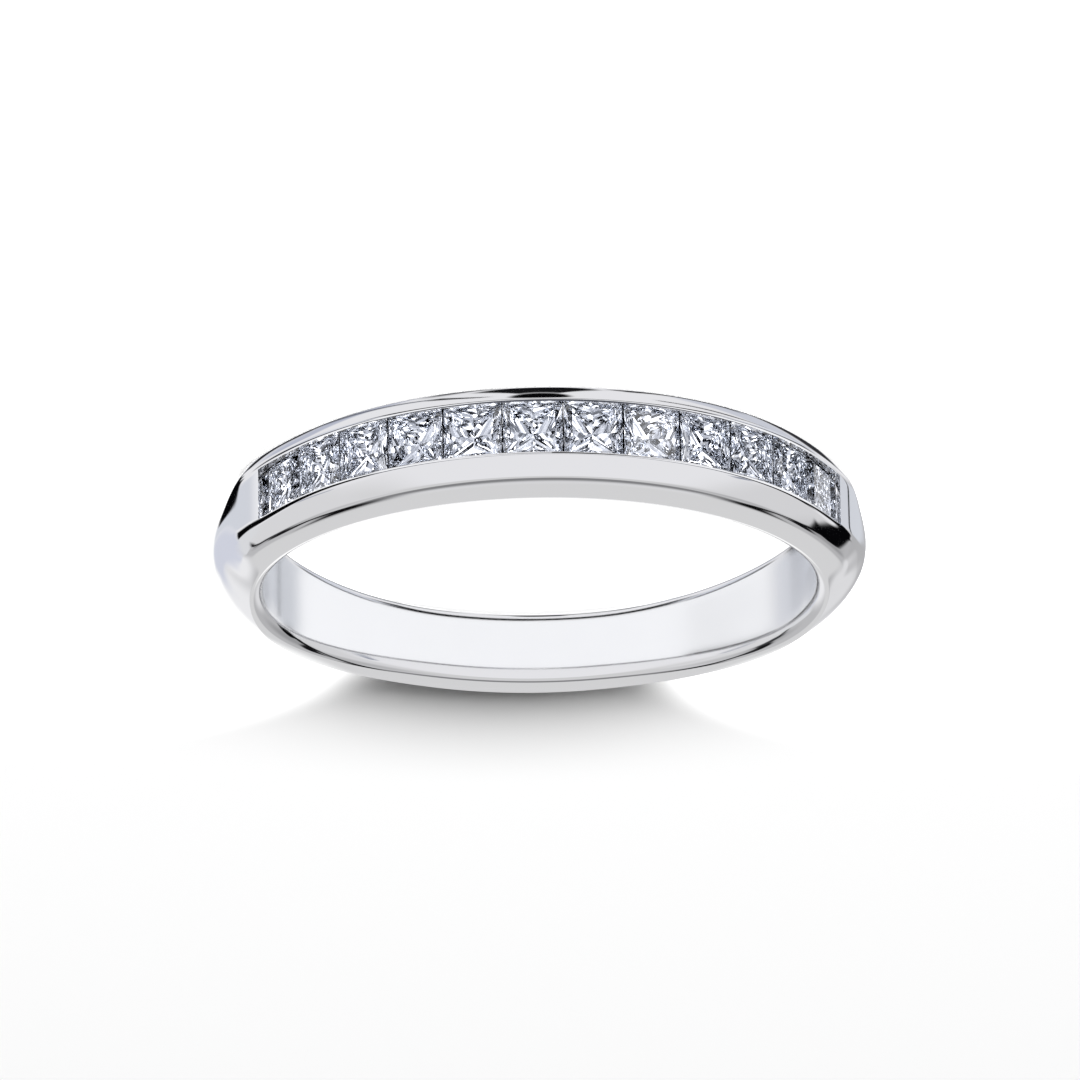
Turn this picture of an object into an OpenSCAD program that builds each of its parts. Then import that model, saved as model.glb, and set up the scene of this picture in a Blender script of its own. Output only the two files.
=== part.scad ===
// Channel set band: a polished ring with one row of square stones held between two walls.
// The ring lies on its side: the finger hole runs along Z and the row faces -Y.

/* [Finger hole] */
// Diameter of the finger hole
finger_d = 17.35; // [15:0.05:21]
// Radius of the rounded edges of the hole
hole_edge_r = 0.4; // [0.25:0.05:0.5]

/* [Shank] */
// Thickness of the shank from the hole to its crown
shank_t = 1.6; // [1.3:0.05:2.2]
// Width of the band at its back, opposite the stones
back_w = 2.34; // [1.8:0.02:2.8]
// How far the crown falls to the flat side at the back
back_fall = 0.25; // [0.1:0.05:0.6]
// Fullness of the shank's curve: 2 is a round dome, more is boxier
dome_power = 2.5; // [2:0.1:3.5]
// Where the band starts to narrow, in degrees from the middle stones
taper_start = 105; // [90:1:120]
// Where the band has narrowed to its back width
taper_end = 165; // [150:1:180]

/* [Head] */
// Distance from the hole's axis to the axis that the rim is turned about
rim_shift = 1.65; // [1.4:0.05:1.8]
// Metal between the finger hole and the tips of the middle stones
tip_floor = 1.055; // [0.9:0.05:1.5]
// Flat top of a channel wall, from the mouth to the sloped face
rim_w = 0.08; // [0.06:0.01:0.2]
// Width of the sloped outer face of a channel wall
slope_w = 0.65; // [0.5:0.05:0.9]
// Fall of the sloped face from the rim to its lower edge
slope_fall = 0.48; // [0.35:0.01:0.6]
// Height over the hole at which the slope's lower edge meets the shank
shoulder_h = 1.22; // [1:0.02:1.3]
// Softness of the line where the rim runs into the shank
rim_blend = 0.16; // [0.05:0.01:0.3]
// Softness of the line where the slope's lower edge runs into the shank
edge_blend = 0.25; // [0.1:0.05:0.6]
// How far the channel walls run on past the row at full width, in degrees
wall_run = 6; // [0:0.5:8]
// Length of the shoulder behind the walls, in degrees
shoulder_arc = 18; // [14:1:24]

/* [Channel] */
// Distance from the hole's axis to the axis that the row is set about
row_shift = 1.5; // [1.3:0.05:1.7]
// How far a stone's edge reaches under each wall
tuck = 0.08; // [0.05:0.01:0.12]
// Depth of the stones' tables below the rim
table_drop = 0.2; // [0.1:0.02:0.4]
// Clearance round a stone in its seat
seat_gap = 0.03; // [0.02:0.005:0.05]

/* [Stones] */
// Width of a square stone
stone_w = 1.8; // [1.6:0.02:2]
// Gap between two stones of the row
stone_gap = 0.045; // [0.03:0.005:0.1]
// Width of a stone's table
table_w = 1.36; // [1:0.02:1.4]
// Height of the crown over the girdle
crown_h = 0.17; // [0.12:0.01:0.24]
// Height of the girdle
girdle_h = 0.05; // [0.03:0.01:0.08]
// Depth of the pavilion under the girdle
pavilion_h = 0.95; // [0.8:0.01:1.1]

/* [Hidden] */
stone_count = 12;
STONES = [for (i = [1 : stone_count]) str("stone_", i < 10 ? "0" : "", i)];

// Sections round the ring, and points of a section's shoulder rounding
SECTIONS = 90;
EDGE_STEPS = 5;
BORE_FACETS = 180;
// How far a cutter runs past the metal that it leaves
CUT_PAST = 0.3;

// Points of half a section from the crown to the hole's edge. A point's number is its place on
// the head: 0 to 1 along the rim, 1 to 2 down the slope and 2 to 3 down the side face.
HALF_SECTION = [0, 0.5, 1, 1.5, 2, 2.35, 2.7, 3];
// How much denser these points lie towards the side on the domed shank
DOME_SPREAD = 1.5;

// Facets of a stone. Columns: share of the half width, share of the crown's or pavilion's height
CROWN_BREAK = [0.88, 0.55];
PAVILION_BREAKS = [[0.8, 0.26], [0.5, 0.58]];

finger_r = finger_d / 2;
hole_edge = finger_r + hole_edge_r;
shank_r = finger_r + shank_t;
mouth = stone_w / 2 - tuck;
crest = mouth + rim_w;
head_half = crest + slope_w;
back_half = back_w / 2;

tip_r = finger_r + tip_floor - row_shift;
girdle_r = tip_r + pavilion_h;
stone_h = pavilion_h + girdle_h + crown_h;
rim_r = tip_r + stone_h + table_drop + row_shift - rim_shift;
pitch = 2 * atan((stone_w + stone_gap) / 2 / girdle_r);
row_half = stone_count / 2 * pitch;
row_end = atan2(girdle_r * sin(row_half), row_shift + girdle_r * cos(row_half));

function clamp(x) = min(max(x, 0), 1);
function smooth(x) = let (t = clamp(x)) t * t * (3 - 2 * t);
function mix(a, b, t) = a + (b - a) * t;
// The larger of two heights, with the corner between them softened
function soft_max(a, b, soft) = (a + b + sqrt((a - b) * (a - b) + soft * soft)) / 2;
// Angle from the middle of the row, 0 to 180 on both sides
function from_head(a) = a > 180 ? 360 - a : a;

// Distances from the hole's axis at an angle from the row's middle
function rim_circle(a) = rim_shift * cos(a) + sqrt(rim_r * rim_r - pow(rim_shift * sin(a), 2));
function crown_at(a) = soft_max(rim_circle(a), shank_r, rim_blend);
function edge_at(a) = soft_max(rim_circle(a) - slope_fall, finger_r + shoulder_h, edge_blend);
function half_at(a) =
    mix(head_half, back_half, smooth((a - taper_start) / (taper_end - taper_start)));
function fall_at(a) = mix(shank_t - hole_edge_r, back_fall, a > 90 ? pow(cos(a), 2) : 0);
// 1 along the walls, 0 where the shank is a plain dome
function head_share(a) = 1 - smooth((a - row_end - wall_run) / shoulder_arc);

function head_point(a, s) =
    let (rim = crown_at(a), edge = edge_at(a), half = half_at(a))
    [
        rim - (rim - edge) * clamp(s - 1) - (edge - hole_edge) * clamp(s - 2),
        crest * clamp(s) + (half - crest) * clamp(s - 1)
    ];
function dome_point(a, s) =
    let (u = 1 - pow(1 - s / 3, DOME_SPREAD))
    [crown_at(a) - fall_at(a) * pow(u, dome_power), half_at(a) * u];
function outer_point(a, s) = mix(dome_point(a, s), head_point(a, s), head_share(a));
function edge_point(a, k) =
    let (turn = 90 * (1 - k / EDGE_STEPS))
    [finger_r + hole_edge_r * (1 - cos(turn)), half_at(a) - hole_edge_r * (1 - sin(turn))];
function inner_point(a) = [finger_r - CUT_PAST, half_at(a) - hole_edge_r];

function upper_half(a) = concat(
    [for (s = HALF_SECTION) outer_point(a, s)],
    [for (k = [1 : EDGE_STEPS - 1]) edge_point(a, k)],
    [inner_point(a)]
);
function section(a) =
    let (up = upper_half(a), last = len(up) - 1)
    concat(up, [for (j = [last : -1 : 1]) [up[j][0], -up[j][1]]]);

module swept_ring() {
    outlines = [for (i = [0 : SECTIONS - 1]) section(from_head(i * 360 / SECTIONS))];
    n = len(outlines[0]);
    points = [
        for (i = [0 : SECTIONS - 1]) for (p = outlines[i])
            let (a = i * 360 / SECTIONS)
            [p[0] * sin(a), -p[0] * cos(a), p[1]]
    ];
    faces = [
        for (i = [0 : SECTIONS - 1]) for (j = [0 : n - 1])
            let (
                here = i * n, next = (i + 1) % SECTIONS * n, k = (j + 1) % n,
                quad = [here + j, here + k, next + k, next + j]
            )
            each [[quad[0], quad[1], quad[2]], [quad[0], quad[2], quad[3]]]
    ];
    polyhedron(points, faces);
}

// Outline of one side of the row's seat: the mouth, the groove for the stones' edges and the
// trough that their pavilions hang in
function seat_side() =
    let (
        edge = stone_w / 2, table = table_w / 2,
        // A flat stone's corners lie further from the row's axis than the middle of its edge
        girdle_top = norm([girdle_r + girdle_h, edge]),
        wall_foot = girdle_top + crown_h * (edge - mouth) / (edge - table)
    )
    concat(
        [
            [rim_r + rim_shift, mouth],
            [wall_foot + 2 * seat_gap, mouth],
            [girdle_top + seat_gap, edge + seat_gap],
            [girdle_r - seat_gap, edge + seat_gap]
        ],
        [for (b = PAVILION_BREAKS) [girdle_r - b[1] * pavilion_h, b[0] * edge + 2 * seat_gap]],
        [[tip_r - seat_gap, 2 * seat_gap]]
    );

module row_seat() {
    side = seat_side();
    last = len(side) - 1;
    outline = concat(side, [for (j = [last : -1 : 0]) [side[j][0], -side[j][1]]]);
    end_gap = seat_gap / girdle_r * 180 / PI;
    translate([0, -row_shift, 0])
        rotate([0, 0, -90 - row_half - end_gap])
            rotate_extrude(angle = 2 * (row_half + end_gap), $fn = BORE_FACETS)
                polygon(outline);
}

module band() {
    color("silver")
        translate([0, 0, head_half])
            difference() {
                swept_ring();
                cylinder(d = finger_d, h = 3 * head_half, center = true, $fn = BORE_FACETS);
                row_seat();
            }
}

// A square stone with its girdle's lower edge at the origin and its table up
module cut_stone() {
    edge = stone_w / 2;
    corners = [[1, 1], [1, -1], [-1, -1], [-1, 1]];
    sides = [[1, 0], [0, -1], [-1, 0], [0, 1]];
    function ring(shape, half, z) = [for (p = shape) [p[0] * half, p[1] * half, z]];
    crown_top = girdle_h + crown_h;
    crown_mid = girdle_h + CROWN_BREAK[1] * crown_h;
    points = concat(
        ring(corners, table_w / 2, crown_top),
        ring(sides, CROWN_BREAK[0] * edge, crown_mid),
        ring(corners, edge, girdle_h),
        ring(corners, edge, 0),
        ring(sides, PAVILION_BREAKS[0][0] * edge, -PAVILION_BREAKS[0][1] * pavilion_h),
        ring(sides, PAVILION_BREAKS[1][0] * edge, -PAVILION_BREAKS[1][1] * pavilion_h),
        [[0, 0, -pavilion_h]]
    );
    // First point of each ring, counted round from the corner before its side
    table = 0;
    crown = 4;
    girdle_top = 8;
    girdle_foot = 12;
    break_1 = 16;
    break_2 = 20;
    tip = 24;
    facets = [
        for (i = [0 : 3])
            let (k = (i + 1) % 4)
            each [
                [table + i, crown + i, table + k],
                [table + i, girdle_top + i, crown + i],
                [table + k, crown + i, girdle_top + k],
                [crown + i, girdle_top + i, girdle_top + k],
                [girdle_top + i, girdle_foot + i, girdle_foot + k, girdle_top + k],
                [girdle_foot + i, break_1 + i, girdle_foot + k],
                [girdle_foot + i, break_2 + i, break_1 + i],
                [girdle_foot + k, break_1 + i, break_2 + i],
                [girdle_foot + i, tip, break_2 + i],
                [girdle_foot + k, break_2 + i, tip]
            ]
    ];
    polyhedron(points, concat([[0, 1, 2, 3]], facets));
}

module stone(i) {
    color("aliceblue")
        translate([0, -row_shift, head_half])
            rotate([0, 0, ((stone_count + 1) / 2 - i) * pitch])
                translate([0, -girdle_r, 0])
                    rotate([90, 0, 0])
                        cut_stone();
}

band();
for (i = [1 : stone_count])
    stone(i);
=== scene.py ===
import math

import bpy
import numpy as np
from mathutils import Matrix, Vector


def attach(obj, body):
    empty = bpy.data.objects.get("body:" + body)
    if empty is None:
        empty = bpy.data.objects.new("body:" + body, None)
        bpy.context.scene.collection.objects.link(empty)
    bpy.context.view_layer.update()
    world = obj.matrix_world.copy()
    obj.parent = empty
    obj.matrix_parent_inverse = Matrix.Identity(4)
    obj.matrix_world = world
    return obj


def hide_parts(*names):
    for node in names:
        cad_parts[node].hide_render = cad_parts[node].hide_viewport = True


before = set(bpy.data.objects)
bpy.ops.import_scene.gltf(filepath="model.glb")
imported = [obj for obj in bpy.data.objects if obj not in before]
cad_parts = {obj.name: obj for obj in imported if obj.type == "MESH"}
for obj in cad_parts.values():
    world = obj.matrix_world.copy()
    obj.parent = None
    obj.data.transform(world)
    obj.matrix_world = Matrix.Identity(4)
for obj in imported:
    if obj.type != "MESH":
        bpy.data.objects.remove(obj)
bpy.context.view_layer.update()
bpy.ops.object.select_all(action="DESELECT")

# The band. A bar of white gold is bent round, soldered and forged: a head with two sloped
# channel walls, shoulders, and a domed shank that narrows to the back. All of it is polished to
# a mirror, and the stones' seat is cut along the middle of the head. Sizes are in millimetres.
FINGER_R = 8.675
HOLE_EDGE_R = 0.4
SHANK_R = FINGER_R + 1.6
HEAD_HALF = 1.55
BACK_HALF = 1.17
BACK_FALL = 0.25
SIDE_FALL = 1.2
DOME_POWER = 2.2
DOME_SPREAD = 1.5
TAPER = (105.0, 165.0)
RIM_SHIFT = 1.65
RIM_R = 9.45
RIM_BLEND = 0.16
CREST = 0.90
SLOPE_FALL = 0.48
SHOULDER_H = 1.22
EDGE_BLEND = 0.25
WALL_RUN = 6.0
SHOULDER_ARC = 18.0
SIDE_DISH = 0.06
# the slope's bulge at its middle, and the shares of it that go outwards and sideways
SLOPE_PILLOW = 0.018
PILLOW_OUT = 0.8
PILLOW_ASIDE = 0.6
# the rim leans in towards the stones, and loses its lean from just before the row's end, at the
# first of these degrees from it, to just past it, at the second
RIM_LEAN = 0.25
RIM_LEAN_WIDTH = 0.12
LEAN_FADES = (-2.0, 4.0)
# reach of the rounding at the slope's upper and lower edge: at the middle stones, on the shank
CREST_SOFT = (0.035, 0.24)
CREASE_SOFT = (0.1, 0.14)
SOFTEST_AT = 75.0
# sections round the ring, and the points of half a section
ROUND = 240
CORNER_POINTS = 7
RIM_POINTS = 6
SLOPE_POINTS = 13
SIDE_POINTS = 15
HOLE_EDGE_POINTS = 13
BORE_POINTS = 4
SHARP_FROM = math.radians(24)
TO_METRES = 0.001

ROW_SHIFT = 1.5
STONE_COUNT = 12
STONE_W = 1.8
STONE_GAP = 0.045
TABLE_W = 1.36
GIRDLE_R = 9.18
GIRDLE_H = 0.05
CROWN_H = 0.17
PAVILION_H = 0.95
PITCH = 2 * math.atan((STONE_W + STONE_GAP) / 2 / GIRDLE_R)
ROW_HALF = STONE_COUNT / 2 * PITCH
ROW_END = math.degrees(
    math.atan2(GIRDLE_R * math.sin(ROW_HALF), ROW_SHIFT + GIRDLE_R * math.cos(ROW_HALF))
)
MOUTH = 0.82
SEAT_GAP = 0.03
SEAT_STEPS = 120
# the trough under the stones: shares of a stone's half width, and of its pavilion's depth
TROUGH_BREAKS = [(0.8, 0.26), (0.5, 0.58)]


def mix(a, b, share):
    return a + (b - a) * share


def clamp(x):
    return min(max(x, 0.0), 1.0)


def smooth(x):
    t = clamp(x)
    return t * t * (3 - 2 * t)


def soft_max(a, b, soft):
    """The larger of two heights, with the corner between them softened."""
    return (a + b + math.sqrt((a - b) ** 2 + soft * soft)) / 2


def rim_circle(turn):
    angle = math.radians(turn)
    return RIM_SHIFT * math.cos(angle) + math.sqrt(RIM_R**2 - (RIM_SHIFT * math.sin(angle)) ** 2)


def half_at(turn):
    return mix(HEAD_HALF, BACK_HALF, smooth((turn - TAPER[0]) / (TAPER[1] - TAPER[0])))


def outer_point(turn, s):
    """Distance from the hole's axis and height over the mid plane, s from 0, crown, to 3, side."""
    rim = rim_circle(turn)
    faded = (turn - ROW_END - LEAN_FADES[0]) / (LEAN_FADES[1] - LEAN_FADES[0])
    lean = RIM_LEAN * (1 - smooth(faded))
    crown = soft_max(rim, SHANK_R, RIM_BLEND) - lean * CREST * clamp(min(1 - s, RIM_LEAN_WIDTH))
    edge = soft_max(rim - SLOPE_FALL, FINGER_R + SHOULDER_H, EDGE_BLEND)
    half = half_at(turn)
    down = clamp(s - 1)
    side = clamp(s - 2)
    pillow = 4 * SLOPE_PILLOW * down * (1 - down)
    head_r = crown - (crown - edge) * down - (edge - FINGER_R - HOLE_EDGE_R) * side
    head_r += PILLOW_OUT * pillow
    head_z = CREST * clamp(s) + (half - SIDE_DISH - CREST) * down + PILLOW_ASIDE * pillow
    head_z += SIDE_DISH * (1 - (1 - side) ** 3)
    back = math.cos(math.radians(turn)) ** 2 if turn > 90 else 0.0
    u = 1 - (1 - s / 3) ** DOME_SPREAD
    dome_r = crown - mix(SIDE_FALL, BACK_FALL, back) * u**DOME_POWER
    head = 1 - smooth((turn - ROW_END - WALL_RUN) / SHOULDER_ARC)
    return Vector((mix(dome_r, head_r, head), mix(half * u, head_z, head)))


def soft_corner(turn, corner, reach):
    """Points that round the section's corner, from reach before it to reach after it."""
    before = outer_point(turn, corner - reach)
    peak = outer_point(turn, corner)
    after = outer_point(turn, corner + reach)
    shares = [k / (CORNER_POINTS - 1) for k in range(CORNER_POINTS)]
    return [(1 - t) ** 2 * before + 2 * t * (1 - t) * peak + t * t * after for t in shares]


def half_section(turn):
    """The upper half of a section, from the crown over the hole's edge to the mid plane."""
    crest = mix(*CREST_SOFT, smooth(turn / SOFTEST_AT))
    crease = mix(*CREASE_SOFT, smooth(turn / SOFTEST_AT))
    points = [outer_point(turn, s) for s in np.linspace(0, 1 - crest, RIM_POINTS)[:-1]]
    points += soft_corner(turn, 1, crest)
    points += [outer_point(turn, s) for s in np.linspace(1 + crest, 2 - crease, SLOPE_POINTS)[1:-1]]
    points += soft_corner(turn, 2, crease)
    points += [outer_point(turn, s) for s in np.linspace(2 + crease, 3, SIDE_POINTS)[1:-1]]
    half = half_at(turn)
    for k in range(HOLE_EDGE_POINTS):
        lean = math.pi / 2 * (1 - k / (HOLE_EDGE_POINTS - 1))
        r = FINGER_R + HOLE_EDGE_R * (1 - math.cos(lean))
        points.append(Vector((r, half - HOLE_EDGE_R * (1 - math.sin(lean)))))
    for k in range(1, BORE_POINTS + 1):
        points.append(Vector((FINGER_R, (half - HOLE_EDGE_R) * (1 - k / BORE_POINTS))))
    return points


upper_count = len(half_section(0.0))
bpy.ops.mesh.primitive_torus_add(
    major_segments=ROUND,
    minor_segments=2 * upper_count - 2,
    major_radius=(FINGER_R + SHANK_R) / 2,
    minor_radius=(SHANK_R - FINGER_R) / 2,
)
band = bpy.context.object
band.name = "polished_band"
forged = []
for i in range(ROUND):
    around = (i * 360 / ROUND + 90) % 360
    upper = half_section(min(around, 360 - around))
    section = upper + [Vector((p[0], -p[1])) for p in upper[-2:0:-1]]
    angle = math.radians(around)
    forged += [(p[0] * math.sin(angle), -p[0] * math.cos(angle), p[1]) for p in section]
band.data.vertices.foreach_set("co", np.array(forged, np.float32).ravel())
band.data.update()

# the cutter that opens the stones' seat: half its outline, out from the row's axis
stone_edge = STONE_W / 2
girdle_top = math.hypot(GIRDLE_R + GIRDLE_H, stone_edge)
wall_foot = girdle_top + CROWN_H * (stone_edge - MOUTH) / ((STONE_W - TABLE_W) / 2)
seat_side = [
    (RIM_R + RIM_SHIFT, MOUTH),
    (wall_foot + 2 * SEAT_GAP, MOUTH),
    (girdle_top + SEAT_GAP, stone_edge + SEAT_GAP),
    (GIRDLE_R - SEAT_GAP, stone_edge + SEAT_GAP),
]
seat_side += [(GIRDLE_R - z * PAVILION_H, x * stone_edge + 2 * SEAT_GAP) for x, z in TROUGH_BREAKS]
seat_side += [(GIRDLE_R - PAVILION_H - SEAT_GAP, 2 * SEAT_GAP)]
outline = seat_side + [(r, -z) for r, z in reversed(seat_side)]
seat_half = ROW_HALF + SEAT_GAP / GIRDLE_R
bpy.ops.mesh.primitive_circle_add(vertices=len(outline), fill_type="NGON")
cutter = bpy.context.object
for vertex, (r, z) in zip(cutter.data.vertices, outline):
    vertex.co = (-r * math.sin(seat_half), -ROW_SHIFT - r * math.cos(seat_half), z)
bpy.ops.object.mode_set(mode="EDIT")
bpy.ops.mesh.select_all(action="SELECT")
bpy.ops.mesh.spin(
    steps=SEAT_STEPS, angle=-2 * seat_half, center=(0, -ROW_SHIFT, 0), axis=(0, 0, 1)
)
bpy.ops.mesh.select_all(action="SELECT")
bpy.ops.mesh.remove_doubles(threshold=0.0001)
bpy.ops.mesh.normals_make_consistent(inside=False)
bpy.ops.object.mode_set(mode="OBJECT")

bpy.ops.object.select_all(action="DESELECT")
band.select_set(True)
bpy.context.view_layer.objects.active = band
cut = band.modifiers.new("seat", "BOOLEAN")
cut.object = cutter
cut.solver = "EXACT"
bpy.ops.object.modifier_apply(modifier=cut.name)
bpy.data.objects.remove(cutter, do_unlink=True)
band.location = (0, 0, HEAD_HALF * TO_METRES)
band.scale = (TO_METRES,) * 3
bpy.ops.object.transform_apply(location=True, rotation=True, scale=True)
bpy.ops.object.shade_smooth_by_angle(angle=SHARP_FROM)


class Flow:
    """A node's output socket that takes part in Python sums."""

    def __init__(self, tree, socket):
        self.tree = tree
        self.socket = socket

    def node(self, kind, inputs=(), settings=(), stops=None, output=0):
        made = self.tree.nodes.new("ShaderNode" + kind)
        for name, value in dict(settings).items():
            setattr(made, name, value)
        if stops:
            ramp = made.color_ramp
            ramp.interpolation = "CONSTANT"
            while len(ramp.elements) < len(stops):
                ramp.elements.new(0.5)
            for element, (place, colour) in zip(ramp.elements, stops):
                element.position = place
                element.color = colour
        for name, value in dict(inputs).items():
            if isinstance(value, Flow):
                self.tree.links.new(value.socket, made.inputs[name])
            else:
                made.inputs[name].default_value = value
        return Flow(self.tree, made.outputs[output])

    def feed(self, socket):
        self.tree.links.new(self.socket, socket)

    def sum(self, operation, *values):
        return self.node("Math", dict(enumerate(values)), {"operation": operation})

    def __add__(self, other):
        return self.sum("ADD", self, other)

    def __radd__(self, other):
        return self.sum("ADD", other, self)

    def __sub__(self, other):
        return self.sum("SUBTRACT", self, other)

    def __rsub__(self, other):
        return self.sum("SUBTRACT", other, self)

    def __mul__(self, other):
        return self.sum("MULTIPLY", self, other)

    def __rmul__(self, other):
        return self.sum("MULTIPLY", other, self)

    def step(self, low, high):
        """0 below low and 1 above high, with a soft change between them."""
        settings = {"interpolation_type": "SMOOTHSTEP"}
        return self.node("MapRange", {"Value": self, "From Min": low, "From Max": high}, settings)

    def length(self):
        return self.node("VectorMath", {0: self}, {"operation": "LENGTH"}, output="Value")


def new_material(name):
    """A material with its Principled shader, and a Flow to start its nodes from."""
    material = bpy.data.materials.new(name)
    material.use_nodes = True
    shader = material.node_tree.nodes["Principled BSDF"]
    return material, shader, Flow(material.node_tree, None)


# a mirror polish with faint wipe marks, and the duller one that a round tool leaves in the hole
WHITE_GOLD = (0.90, 0.90, 0.905, 1.0)
POLISH_ROUGHNESS = 0.03
WIPE_ROUGHNESS = 0.03
BORE_ROUGHNESS = 0.13
WIPE_SCALE = 900.0
BORE_ENDS = (0.00869, 0.00874)
metal, shader, start = new_material("polished_white_gold")
place = start.node("TexCoord", output="Object")
wipes = start.node("TexNoise", {"Vector": place, "Scale": WIPE_SCALE, "Detail": 3.0})
from_axis = start.node("VectorMath", {0: place, 1: (1.0, 1.0, 0.0)}, {"operation": "MULTIPLY"})
bore = 1 - from_axis.length().step(*BORE_ENDS)
roughness = POLISH_ROUGHNESS + WIPE_ROUGHNESS * wipes + BORE_ROUGHNESS * bore
roughness.feed(shader.inputs["Roughness"])
shader.inputs["Metallic"].default_value = 1.0
shader.inputs["Base Color"].default_value = WHITE_GOLD
band.data.materials.clear()
band.data.materials.append(metal)
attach(band, "root")
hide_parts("band")

# The stones: twelve princess cut diamonds. Each starts as a block, and one plane after another
# is ground off it: the table and crown, and under the girdle the chevrons that run to the tip.
CROWN_TOP = GIRDLE_H + CROWN_H
# shares of a stone's half width, and of the crown's or pavilion's height, at the side's middle
CROWN_BREAK = (0.88, 0.55)
CHEVRONS = [
    (0.9, 0.12),
    (0.82, 0.215),
    (0.72, 0.33),
    (0.6, 0.46),
    (0.46, 0.6),
    (0.31, 0.735),
    (0.16, 0.866),
    (0.0, 1.0),
]
DIAMOND_IOR = 2.417
DIAMOND_TINT = (0.97, 0.98, 1.0, 1.0)
# facets whose normal points up less than this lie on the girdle or under it
MIRRORS_UNDER = 0.1

corner_up = Vector((stone_edge, stone_edge, GIRDLE_H))
corner_down = Vector((stone_edge, stone_edge, 0))
table_corner = Vector((TABLE_W / 2, TABLE_W / 2, CROWN_TOP))
crown_mid = Vector((CROWN_BREAK[0] * stone_edge, 0, GIRDLE_H + CROWN_BREAK[1] * CROWN_H))
mid_points = [Vector((x * stone_edge, 0, -z * PAVILION_H)) for x, z in CHEVRONS]
flip = Vector((1, -1, 1))


def plane_of(a, b, c):
    """Point and outward normal of the facet through three points, on the +X side of the stone."""
    normal = (b - a).cross(c - a).normalized()
    if normal.x < 0:
        normal.negate()
    return a, normal


side_planes = [
    plane_of(table_corner, table_corner * flip, crown_mid),
    plane_of(corner_up, corner_up * flip, crown_mid),
    plane_of(corner_down, corner_down * flip, mid_points[0]),
]
halves = [plane_of(table_corner, corner_up, crown_mid)]
halves += [plane_of(corner_down, above, below) for above, below in zip(mid_points, mid_points[1:])]
side_planes += halves
side_planes += [(point * flip, normal * flip) for point, normal in halves]

bpy.ops.mesh.primitive_cube_add(size=1)
cut_stone = bpy.context.object
cut_stone.data.transform(Matrix.Diagonal((STONE_W, STONE_W, CROWN_TOP + PAVILION_H, 1)))
cut_stone.data.transform(Matrix.Translation((0, 0, (CROWN_TOP - PAVILION_H) / 2)))
bpy.ops.object.mode_set(mode="EDIT")
for quarter in range(4):
    turn = Matrix.Rotation(quarter * math.pi / 2, 3, "Z")
    for point, normal in side_planes:
        bpy.ops.mesh.select_all(action="SELECT")
        bpy.ops.mesh.bisect(
            plane_co=turn @ point,
            plane_no=turn @ normal,
            use_fill=True,
            clear_outer=True,
            threshold=0.00002,
        )
bpy.ops.mesh.select_all(action="SELECT")
bpy.ops.mesh.remove_doubles(threshold=0.0005)
bpy.ops.mesh.normals_make_consistent(inside=False)
bpy.ops.object.mode_set(mode="OBJECT")

# clear crowns, and mirrors from the girdle down for the light that a diamond turns back inside
diamond, shader, start = new_material("diamond")
shader.inputs["Base Color"].default_value = (1.0, 1.0, 1.0, 1.0)
shader.inputs["Transmission Weight"].default_value = 1.0
shader.inputs["Roughness"].default_value = 0.0
shader.inputs["IOR"].default_value = DIAMOND_IOR
back_facets, shader, start = new_material("diamond_pavilion")
shader.inputs["Base Color"].default_value = DIAMOND_TINT
shader.inputs["Metallic"].default_value = 1.0
shader.inputs["Roughness"].default_value = 0.0
cut_stone.data.materials.clear()
cut_stone.data.materials.append(diamond)
cut_stone.data.materials.append(back_facets)
for facet in cut_stone.data.polygons:
    facet.material_index = int(facet.normal.z < MIRRORS_UNDER)

for i in range(STONE_COUNT):
    node = f"stone_{i + 1:02d}"
    stone = bpy.data.objects.new(f"princess_{i + 1:02d}", cut_stone.data.copy())
    bpy.context.scene.collection.objects.link(stone)
    turn = Matrix.Rotation(((STONE_COUNT - 1) / 2 - i) * PITCH, 4, "Z")
    out = Matrix.Translation((0, -GIRDLE_R, 0)) @ Matrix.Rotation(math.pi / 2, 4, "X")
    seat = Matrix.Translation((0, -ROW_SHIFT, HEAD_HALF)) @ turn @ out
    stone.data.transform(Matrix.Scale(TO_METRES, 4) @ seat)
    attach(stone, "root")
    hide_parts(node)
bpy.data.objects.remove(cut_stone, do_unlink=True)

# The table under the ring is a sheet of white paper. Inside the ring's outline the paper itself
# glows white, a painted glow with no lamp behind it, so that the finger hole shows white down to
# its rim with no shade on the floor there. The table throws no light back at the polish or through
# the stones.
TABLE_SIZE = 1.6
PAPER = (0.93, 0.93, 0.93, 1.0)
# the radius of the painted glow under the ring, and the width of its soft edge
GLOW_RADIUS = 0.0097
GLOW_SOFT = 0.0002
bpy.ops.mesh.primitive_plane_add(size=TABLE_SIZE)
table = bpy.context.object
table.name = "white_table"
paper, shader, start = new_material("white_paper_with_painted_glow")
shader.inputs["Base Color"].default_value = PAPER
shader.inputs["Roughness"].default_value = 0.9
shader.inputs["Specular IOR Level"].default_value = 0.0
# painted glow: within that radius of the table's middle the paper shines white by itself, fading at
# the edge
from_middle = start.node("TexCoord", output="Object").length()
painted_glow = 1 - from_middle.step(GLOW_RADIUS - GLOW_SOFT / 2, GLOW_RADIUS + GLOW_SOFT / 2)
painted_glow.feed(shader.inputs["Emission Color"])
shader.inputs["Emission Strength"].default_value = 1.0
table.data.materials.append(paper)
table.visible_glossy = False
table.visible_transmission = False

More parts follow.
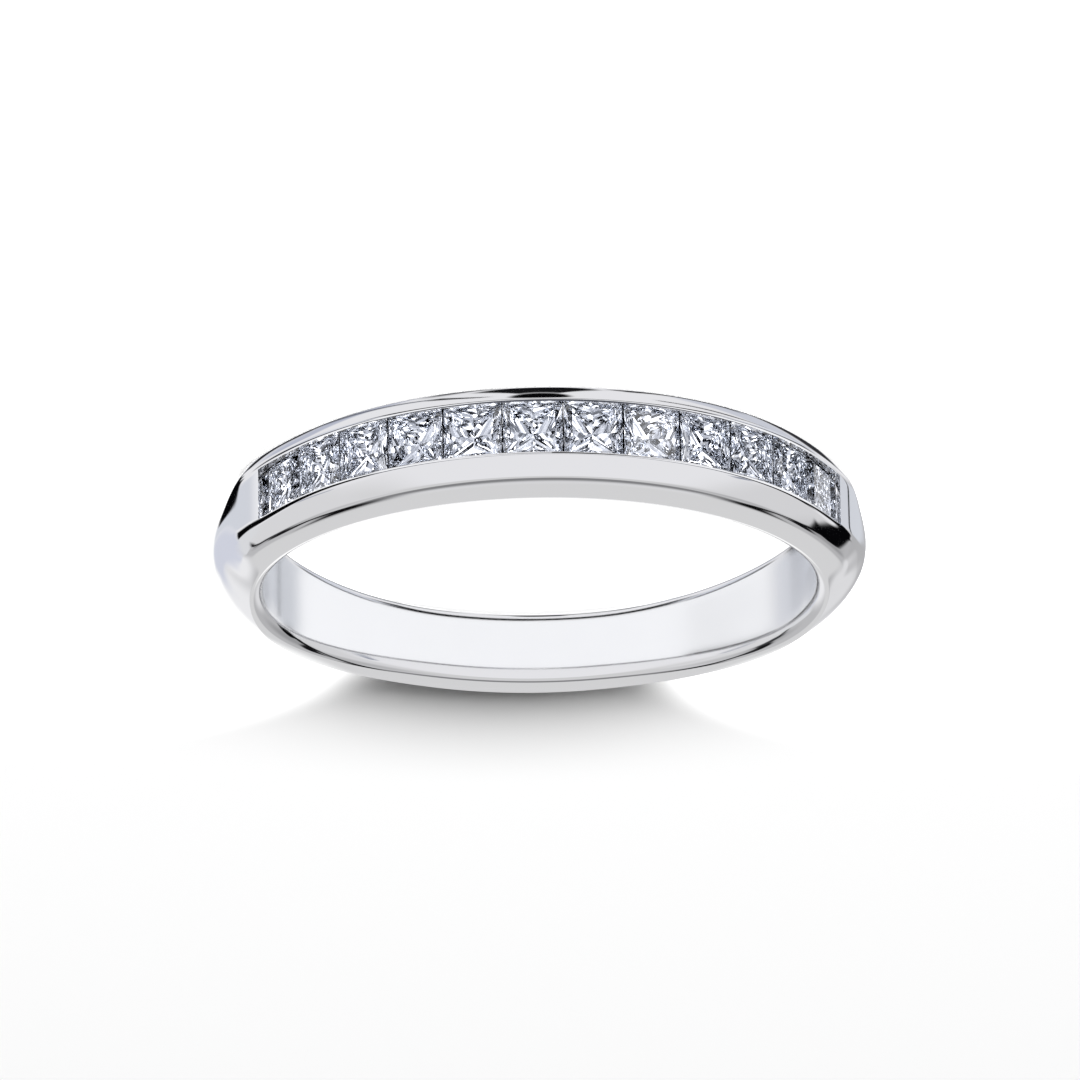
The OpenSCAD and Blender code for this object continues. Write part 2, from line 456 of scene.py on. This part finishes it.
# The light tent round the table is of white cloth, hung with grey sheets and black flags that
# the polish mirrors. Each is placed as seen from the ring, in degrees: its bearing from straight
# behind, positive to the right of the picture, and its height. A later one hangs before the rest.
# Levels are what the polish shows of it, from 0 to 255, and SHEEN is how much it mirrors.
SHEEN = 0.9
DISPLAY_GAMMA = 2.2
WHITE = (255, 255, 255)
CLOTH = (226, 226, 229)
LAVENDER = (202, 205, 217)
BLACK = (14, 14, 16)
TENT = [
    # sheet: left, right, low, high, softness of its upright and of its level edges, levels
    # disc: bearing, height, radius, softness, levels
    # ring: bearing, height, radius, width, softness, levels
    # tape: bearing and height of one end, then of the other, width, softness, levels
    ("sheet", -100, 95, 35, 100, 40, 25, (203, 203, 204)),
    ("sheet", -88, -24, 6, 60, 20, 10, (211, 211, 213)),
    ("sheet", 24, 95, 3, 60, 20, 8, (207, 207, 209)),
    ("disc", -45, 45, 14, 18, (187, 187, 189)),
    ("disc", 48, 48, 14, 18, (175, 175, 177)),
    ("sheet", -200, -60, -27, -8, 20, 8, (246, 247, 250)),
    ("sheet", 60, 200, -27, -8, 20, 8, (246, 247, 250)),
    ("sheet", -200, -85, -57, -37, 12, 3, BLACK),
    ("sheet", 85, 200, -57, -35, 12, 3, BLACK),
    ("disc", 4, 44, 13, 8, (128, 128, 130)),
    # a round grey screen with a black rim on either side of the gap straight behind
    ("disc", -25.5, 18.5, 24, 2, (182, 182, 184)),
    ("disc", 34.5, 17.5, 24, 2, (176, 176, 178)),
    ("disc", 47, 24, 12, 16, (148, 148, 150)),
    ("disc", -45, 32, 10, 14, (164, 164, 166)),
    ("ring", -25.5, 18.5, 24.5, 3.2, 2, BLACK),
    ("ring", 34.5, 17.5, 24.5, 3.2, 2, BLACK),
    ("tape", 32, 37.5, 57, 31, 6.5, 2.5, (24, 24, 26)),
    ("tape", 55, 34, 61, 14, 4.5, 2, BLACK),
    ("tape", -22, 41, -53, 33, 5, 2.5, (24, 24, 26)),
    ("sheet", -56, -45, 22, 36, 3, 8, (60, 60, 62)),
    # pale cards low in front of the screens
    ("sheet", -60, -30, -10, 13, 8, 4, (213, 214, 217)),
    ("disc", -10, -2, 19, 14, (230, 230, 232)),
    ("sheet", 14, 47, -25, 1, 8, 6, (171, 171, 173)),
    ("disc", 21, 3, 10, 12, (214, 214, 216)),
    ("sheet", -6, 14, -6, 28.5, 5, 3, (206, 206, 207)),
    # the white gap behind, and lavender, grey and pale cards low on both sides of it
    ("sheet", -40, -17, -18, 3, 8, 8, LAVENDER),
    ("sheet", 22, 62, -23.5, -17, 12, 2, (203, 206, 213)),
    ("sheet", -58, -14, -21.5, -18, 14, 1.5, (204, 207, 215)),
    ("sheet", 28, 43, -60, -33, 4, 6, (195, 198, 208)),
    ("sheet", -31, -17, -60, -36, 4, 6, (178, 182, 197)),
    ("sheet", -105, -50, -46, -30, 8, 6, (206, 209, 218)),
    ("sheet", 46, 105, -46, -32, 8, 6, (206, 209, 218)),
    ("sheet", -105, -48, -35, -28, 6, 2, (50, 52, 58)),
    ("sheet", 48, 105, -35, -29, 6, 2, (70, 72, 78)),
    ("sheet", 0, 10, -20, 15, 3, 3, WHITE),
    ("sheet", -16, 9, -22, -4, 8, 8, WHITE),
    ("sheet", -15, 15, -68, -20, 4, 6, WHITE),
    ("sheet", -22, -8, -66, -26, 6, 4, (222, 223, 228)),
    # black and grey flags and tapes: beside and behind the ring
    ("tape", -88, 24, -76, 4, 4, 4, (150, 154, 168)),
    ("sheet", -112, -60, -16, 1, 8, 2, BLACK),
    ("sheet", 68, 112, -10, 1, 8, 2, BLACK),
    ("sheet", -200, -110, -10, 1, 8, 3, (86, 88, 96)),
    ("sheet", 110, 200, -10, 1, 8, 3, (86, 88, 96)),
    ("tape", -66, -7.2, -42, -7.8, 13, 3, BLACK),
    ("tape", 72, -7, 54, -14.5, 7, 3, BLACK),
    ("tape", 57, 19, 51, -15, 10, 2.5, BLACK),
    ("tape", 47, -10, 55, -16, 6, 2, BLACK),
    ("sheet", 41.4, 43.2, -24, -17, 0.8, 2, BLACK),
    ("sheet", 100, 106, 4, 29, 3, 4, (140, 145, 158)),
    # and under it, as the lower faces of the shank mirror them
    ("sheet", -42, -20, -26.5, -20.9, 3, 0.8, BLACK),
    ("sheet", -34, -16, -30, -22, 4, 2, BLACK),
    ("tape", -15.5, -27, -18.5, -43, 6, 2.5, (36, 36, 40)),
    ("tape", -18.5, -42, -17, -68, 6, 2, (36, 36, 40)),
    ("tape", -21, -44, -40, -68, 2, 2, (96, 99, 108)),
    ("tape", -40, -68, -60, -80, 3, 2, (28, 28, 30)),
    ("disc", -19, -66, 4.5, 4, (70, 70, 73)),
    ("tape", 20, -28, 27, -52, 7, 2.5, (50, 50, 54)),
    ("tape", 28, -48, 36, -70, 8, 3, (24, 24, 26)),
    ("tape", 42, -45, 60, -68, 1.8, 1.5, (44, 44, 47)),
    ("sheet", -30, 35, -84, -73, 6, 3, (26, 26, 28)),
    ("disc", 0, -90, 5.5, 2, BLACK),
]
IN_DEGREES = 180 / math.pi

world = bpy.data.worlds.new("light_tent")
bpy.context.scene.world = world
world.use_nodes = True
start = Flow(world.node_tree, None)
direction = start.node("TexCoord", output="Generated")
east = start.node("SeparateXYZ", {0: direction}, output="X")
north = start.node("SeparateXYZ", {0: direction}, output="Y")
up = start.node("SeparateXYZ", {0: direction}, output="Z")
bearing = start.sum("ARCTAN2", 0 - east, north) * IN_DEGREES
height = start.sum("ARCSINE", up) * IN_DEGREES


def light_of(levels):
    return tuple((level / 255) ** DISPLAY_GAMMA / SHEEN for level in levels) + (1.0,)


def hang_sheet(left, right, low, high, side_soft, level_soft):
    across = bearing.step(left - side_soft / 2, left + side_soft / 2)
    across = across * (1 - bearing.step(right - side_soft / 2, right + side_soft / 2))
    tall = height.step(low - level_soft / 2, low + level_soft / 2)
    return across * tall * (1 - height.step(high - level_soft / 2, high + level_soft / 2))


def away_from(turn, rise):
    """Degrees between the direction looked at and one bearing and height."""
    turn = math.radians(turn)
    rise = math.radians(rise)
    aim = (-math.sin(turn) * math.cos(rise), math.cos(turn) * math.cos(rise), math.sin(rise))
    settings = {"operation": "DOT_PRODUCT"}
    toward = start.node("VectorMath", {0: direction, 1: aim}, settings, output="Value")
    return start.sum("ARCCOSINE", toward) * IN_DEGREES


def hang_disc(turn, rise, radius, soft):
    return 1 - away_from(turn, rise).step(radius - soft / 2, radius + soft / 2)


def hang_ring(turn, rise, radius, width, soft):
    away = away_from(turn, rise)
    outside = away.step(radius - (width + soft) / 2, radius - (width - soft) / 2)
    return outside * (1 - away.step(radius + (width - soft) / 2, radius + (width + soft) / 2))


def hang_tape(left, low, right, high, width, soft):
    run = math.hypot(right - left, high - low)
    east_share = (right - left) / run
    up_share = (high - low) / run
    along = (bearing - left) * east_share + (height - low) * up_share
    aside = (height - low) * east_share - (bearing - left) * up_share
    over = 1 - start.sum("ABSOLUTE", aside).step((width - soft) / 2, (width + soft) / 2)
    return over * along.step(-soft / 2, soft / 2) * (1 - along.step(run - soft / 2, run + soft / 2))


HANG = {"sheet": hang_sheet, "disc": hang_disc, "ring": hang_ring, "tape": hang_tape}
# the sockets of a Mix node that mixes colours
MIX_FACTOR = 0
MIX_A = 6
MIX_B = 7
MIX_RESULT = 2
tent = start.node("RGB")
tent.socket.default_value = light_of(CLOTH)
for kind, *sizes, levels in TENT:
    inputs = {MIX_FACTOR: HANG[kind](*sizes), MIX_A: tent, MIX_B: light_of(levels)}
    tent = start.node("Mix", inputs, {"data_type": "RGBA"}, output=MIX_RESULT)

# what the stones see: small dark, blue, white and very bright patches, as of lamps and cards
SPARKS_SCALE = 8.0
SPARKS = [
    (0.0, (0.008, 0.008, 0.01, 1.0)),
    (0.25, (0.22, 0.23, 0.26, 1.0)),
    (0.36, (0.64, 0.66, 0.73, 1.0)),
    (0.54, (1.0, 1.02, 1.09, 1.0)),
    (0.74, (3.2, 3.2, 3.25, 1.0)),
]
cells = start.node("TexVoronoi", {"Vector": direction, "Scale": SPARKS_SCALE}, output="Color")
pick = start.node("SeparateColor", {0: cells})
sparks = start.node("ValToRGB", {0: pick}, stops=SPARKS)

# The table, the stones and the polish each meet a background of their own. The stones alone are
# quite smooth, so a singular ray comes from them, and one that is mirrored by a stone rather
# than bent by it is dimmed.
TABLE_GLOW = (0.135, 0.135, 0.135, 1.0)
MIRRORED_DIM = 0.75
from_table = start.node("LightPath", output="Diffuse Depth").step(0.4, 0.6)
from_stone = start.node("LightPath", output="Is Singular Ray")
mirrored = start.node("LightPath", output="Is Reflection Ray")
table_sky = start.node("Background", {"Color": TABLE_GLOW})
stone_sky = start.node("Background", {"Color": sparks, "Strength": 1 - MIRRORED_DIM * mirrored})
metal_sky = start.node("Background", {"Color": tent})
sky = start.node("MixShader", {0: from_stone, 1: metal_sky, 2: stone_sky})
sky = start.node("MixShader", {0: from_table, 1: sky, 2: table_sky})
sky.feed(world.node_tree.nodes["World Output"].inputs["Surface"])
world.cycles.sampling_method = "NONE"

# light turns round many times inside a stone, so it gets more bounces than is usual
cycles = bpy.context.scene.cycles
cycles.max_bounces = 24
cycles.glossy_bounces = 16
cycles.transmission_bounces = 16

# the key light is a long low strip in front, so the ring's shadow shows only close behind it
KEY_RISE = math.radians(14.1)
KEY_FAR = 2.0
KEY_LENGTH = 1.0
KEY_WIDTH = 0.34
KEY_POWER = 166.0
bpy.ops.object.light_add(type="AREA")
key = bpy.context.object
key.name = "key_strip"
key.data.shape = "RECTANGLE"
key.data.size = KEY_LENGTH
key.data.size_y = KEY_WIDTH
key.data.energy = KEY_POWER
key.location = (0, -KEY_FAR * math.cos(KEY_RISE), KEY_FAR * math.sin(KEY_RISE))
key.rotation_euler = key.location.to_track_quat("Z", "Y").to_euler()
key.visible_glossy = False
key.visible_transmission = False

# a snoot on either side keeps the table white beside the ring. It leans out, so that its light
# also reaches under the side of the shank
SNOOT_HEIGHT = 0.4
SNOOT_LEAN = math.radians(38.0)
POOL_ASIDE = 0.0228
POOL_BEHIND = 0.0095
POOL_RADIUS = 0.016
POOL_SOFT = 0.3
SNOOT_POWER = 32.0
SNOOT_MOUTH = 0.001
for name, side in (("snoot_left", 1), ("snoot_right", -1)):
    aside = side * (POOL_ASIDE + SNOOT_HEIGHT * math.tan(SNOOT_LEAN))
    bpy.ops.object.light_add(
        type="SPOT",
        location=(aside, POOL_BEHIND, SNOOT_HEIGHT),
        rotation=(0, side * SNOOT_LEAN, 0),
    )
    snoot = bpy.context.object
    snoot.name = name
    snoot.data.energy = SNOOT_POWER
    snoot.data.spot_size = 2 * math.atan(POOL_RADIUS * math.cos(SNOOT_LEAN) / SNOOT_HEIGHT)
    snoot.data.spot_blend = POOL_SOFT
    snoot.data.shadow_soft_size = SNOOT_MOUTH
    snoot.visible_glossy = False
    snoot.visible_transmission = False

# The view. The ring lies on its side, and the photographer looks down on it from the front of
# the stones with a long lens. The picture is upside down to the floor, so the row arches on top.
VIEW_TURN = math.radians(4.3)
VIEW_RISE = math.radians(20.2)
VIEW_ROLL = math.radians(0.93)
VIEW_FAR = 0.3
PIXELS_PER_M = 31840.0
PICTURE_WIDTH = 1080
SENSOR_WIDTH = 36.0
# pixels from the picture's middle to the ring's, to the right and down
CENTRE_OFFSET = (-1.2, 12.2)
RING_CENTRE = Vector((0.0, 0.0, HEAD_HALF * TO_METRES))

to_camera = Vector(
    (
        math.sin(VIEW_TURN) * math.cos(VIEW_RISE),
        -math.cos(VIEW_TURN) * math.cos(VIEW_RISE),
        math.sin(VIEW_RISE),
    )
)
level = Vector((math.cos(VIEW_TURN), math.sin(VIEW_TURN), 0.0))
upright = to_camera.cross(level)
picture_right = -math.cos(VIEW_ROLL) * level + math.sin(VIEW_ROLL) * upright
picture_up = to_camera.cross(picture_right)
off_centre = (CENTRE_OFFSET[0] * picture_right - CENTRE_OFFSET[1] * picture_up) / PIXELS_PER_M
axes = Matrix((picture_right, picture_up, to_camera)).transposed().to_4x4()
bpy.ops.object.camera_add()
camera = bpy.context.object
camera.name = "camera"
camera.matrix_world = Matrix.Translation(RING_CENTRE - off_centre + to_camera * VIEW_FAR) @ axes
camera.data.sensor_width = SENSOR_WIDTH
camera.data.lens = SENSOR_WIDTH * PIXELS_PER_M * VIEW_FAR / PICTURE_WIDTH
camera.data.clip_start = 0.01
camera.data.clip_end = 20.0
bpy.context.scene.camera = camera
bpy.context.scene.view_settings.view_transform = "Standard"
